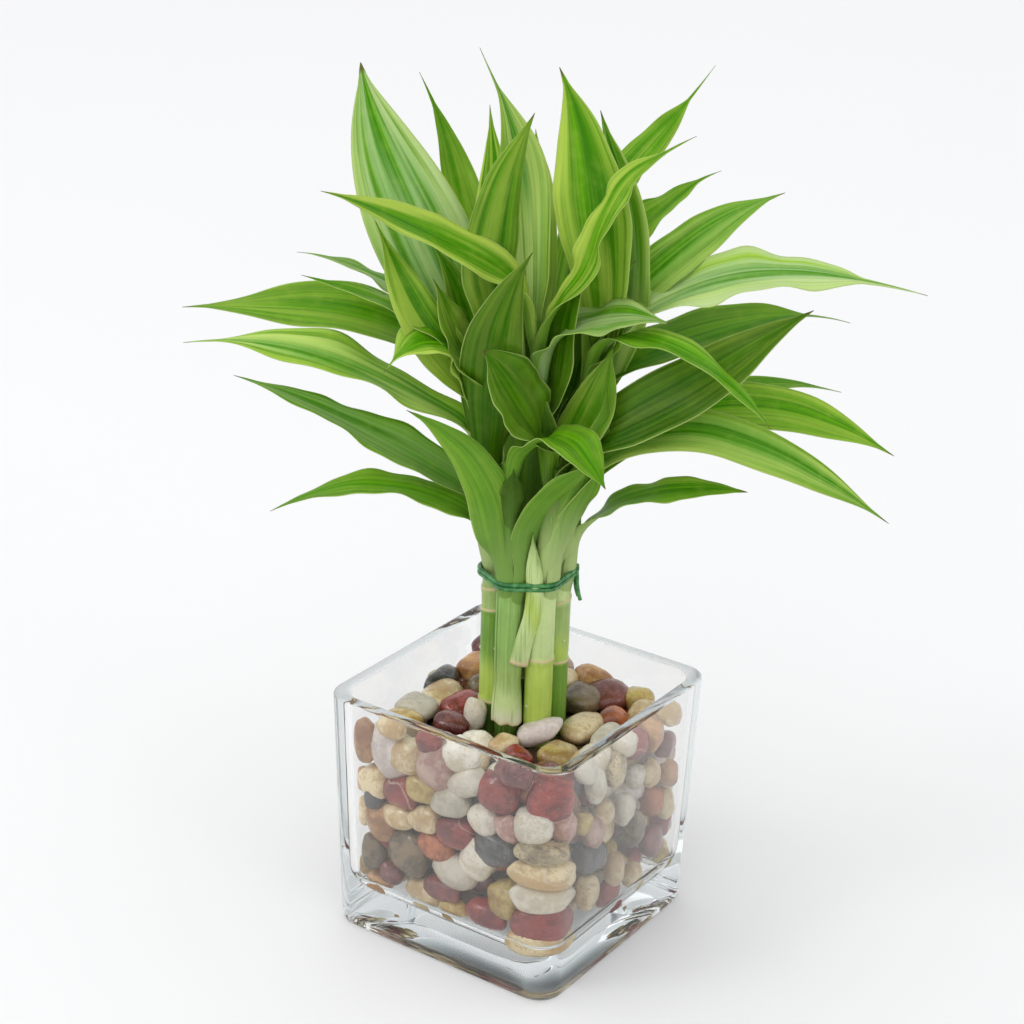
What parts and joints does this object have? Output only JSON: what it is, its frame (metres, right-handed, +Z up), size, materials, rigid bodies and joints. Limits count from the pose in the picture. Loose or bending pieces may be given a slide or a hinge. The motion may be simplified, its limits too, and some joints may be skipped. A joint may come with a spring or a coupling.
{
  "type": "lucky bamboo in a glass vase",
  "caption": "Bundle of cut green stalks with arching leafy shoots, tied with wire and standing in mixed pebbles in a thick square glass vase.",
  "frame": {"origin": "middle of the flat underside of the vase, on the surface that it stands on", "axes": "+Z up along the stalks; X and Y run square to the vase's walls, with one front corner toward +X -Y"},
  "size_m": [0.2376, 0.1758, 0.3173],
  "materials": {
    "glass": "clear, fire-polished, thick walls with a grey-blue cast at the edges",
    "pebbles": "polished river pebbles in cream, tan, white, pink-red, maroon and grey",
    "stalk": "smooth satin green cane with tan node rings and papery pale sheaths",
    "leaf": "satin green blades with parallel veins, yellow-green streaks, pale margins and a matte paler underside",
    "wire": "green coated tie wire"
  },
  "bodies": {
    "root": {"vase": "glass", "pebble_bed": "pebbles", "stalk_a": "stalk", "stalk_b": "stalk", "stalk_c": "stalk", "stalk_d": "stalk", "stalk_e": "stalk", "stalk_f": "stalk", "stalk_g": "stalk", "shoot_a": "leaf", "shoot_b": "leaf", "shoot_c": "leaf", "shoot_d": "leaf", "shoot_e": "leaf", "shoot_f": "leaf", "shoot_g": "leaf", "tie": "wire"}
  },
  "joints": []
}
